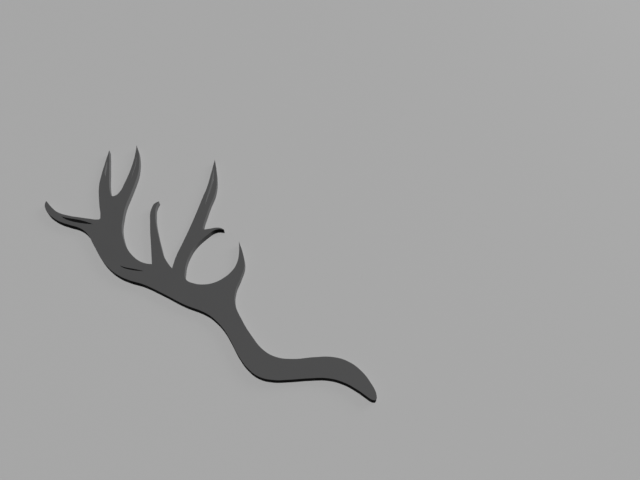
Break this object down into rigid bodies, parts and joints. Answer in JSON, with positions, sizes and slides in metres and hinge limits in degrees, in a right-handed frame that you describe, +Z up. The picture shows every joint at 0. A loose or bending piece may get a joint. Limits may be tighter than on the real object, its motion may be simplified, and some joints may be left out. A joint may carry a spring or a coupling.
{
  "type": "flat antler",
  "caption": "Flat branching antler silhouette of even thickness, with pointed tines, a small spur and slender slits cut right through; it lies on its back face.",
  "frame": {"origin": "under the middle of the antler's box, on the surface that it lies on", "axes": "+X from the crown to the base end, +Y towards the long bez tine's tip, +Z up out of the front face"},
  "size_m": [0.7, 0.2932, 0.01],
  "materials": {
    "antler_board": "even dark grey, matte, with crisp cut edges"
  },
  "bodies": {
    "root": {"lower_beam": "antler_board", "brow_tine": "antler_board", "middle_beam": "antler_board", "bez_tine": "antler_board", "trez_tine": "antler_board", "upper_beam": "antler_board", "rear_tine": "antler_board", "crown_outer_tine": "antler_board", "crown_inner_tine": "antler_board"}
  },
  "joints": []
}
